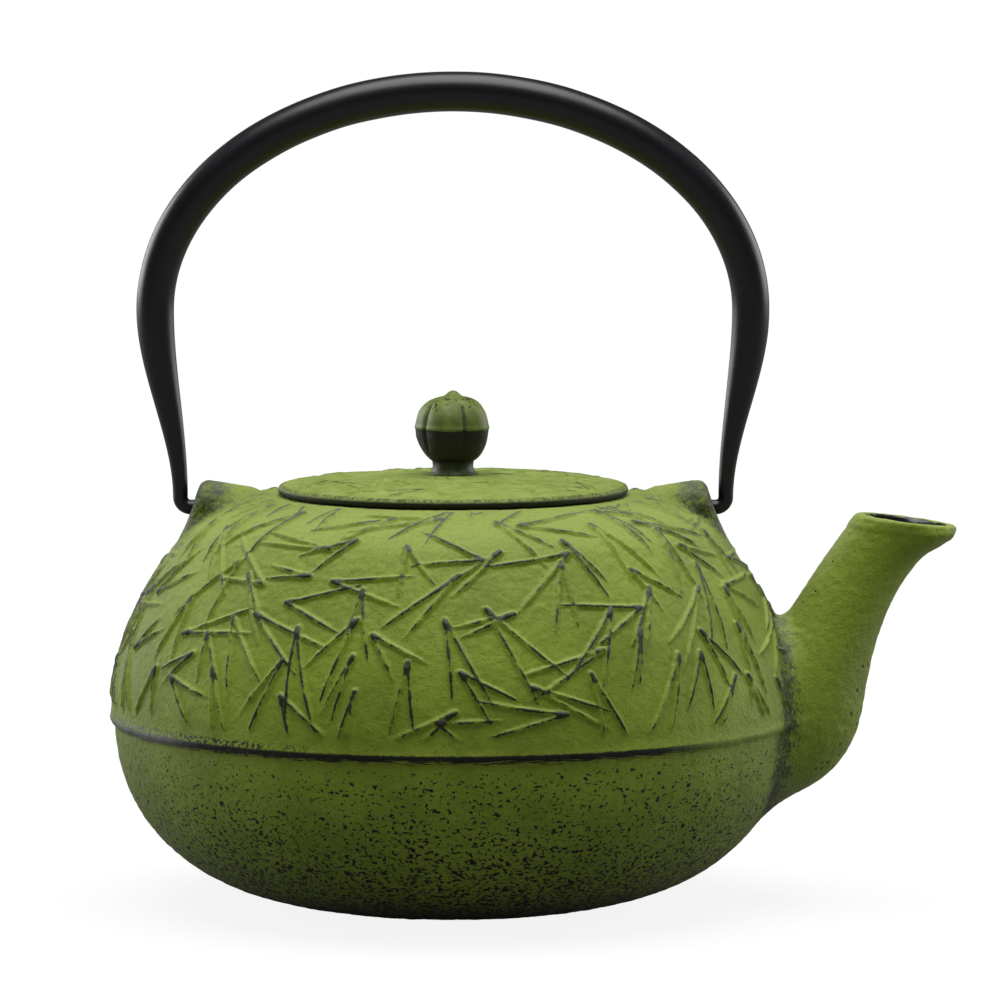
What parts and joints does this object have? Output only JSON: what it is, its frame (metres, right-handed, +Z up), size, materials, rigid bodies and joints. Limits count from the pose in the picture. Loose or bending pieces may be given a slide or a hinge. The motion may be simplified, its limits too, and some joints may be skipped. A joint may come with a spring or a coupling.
{
  "type": "cast iron teapot",
  "caption": "Round cast iron teapot with a wide spout, an upright hooked bail, a knobbed lid and a lift-out steel infuser.",
  "frame": {"origin": "centre of the flat base, on the surface that the pot stands on", "axes": "+Z up along the pot's axis, +X towards the spout, the bail's hinge axis along X"},
  "size_m": [0.2175, 0.176, 0.2131],
  "materials": {
    "pot_iron": "green painted cast iron, wiped dark on the relief, black enamel inside",
    "lid_iron": "green painted cast iron with a dark rim",
    "knob_iron": "green over black painted cast iron",
    "bail_steel": "satin black stoved paint on steel",
    "rivet_steel": "zinc plated steel",
    "infuser_steel": "stainless steel, satin"
  },
  "bodies": {
    "pot": {"pot_base": "pot_iron", "pot_lower": "pot_iron", "pot_upper": "pot_iron", "pot_mouth": "pot_iron", "pot_spout": "pot_iron", "pot_lug_left": "pot_iron", "pot_lug_right": "pot_iron"},
    "handle": {"handle": "bail_steel"},
    "infuser": {"infuser_rim": "infuser_steel", "infuser_wall": "infuser_steel", "infuser_base": "infuser_steel", "infuser_base_ring": "infuser_steel"},
    "lid": {"lid": "lid_iron", "lid_skirt": "lid_iron"},
    "knob": {"knob": "knob_iron", "knob_rivet": "rivet_steel", "knob_washer": "rivet_steel"}
  },
  "joints": [
    {"name": "handle_swing", "type": "hinge", "parent": "pot", "child": "handle", "pos_m": [0, 0, 0.1018], "axis": [1, 0, 0], "range_deg": [-100, 100]},
    {"name": "infuser_lift", "type": "slide", "parent": "pot", "child": "infuser", "axis": [0, 0, 1], "range_m": [0, 0.058]},
    {"name": "lid_lift", "type": "slide", "parent": "infuser", "child": "lid", "axis": [0, 0, 1], "range_m": [0, 0.036]},
    {"name": "knob_turn", "type": "hinge", "parent": "lid", "child": "knob", "pos_m": [0, 0, 0.11], "axis": [0, 0, 1], "continuous": true}
  ]
}
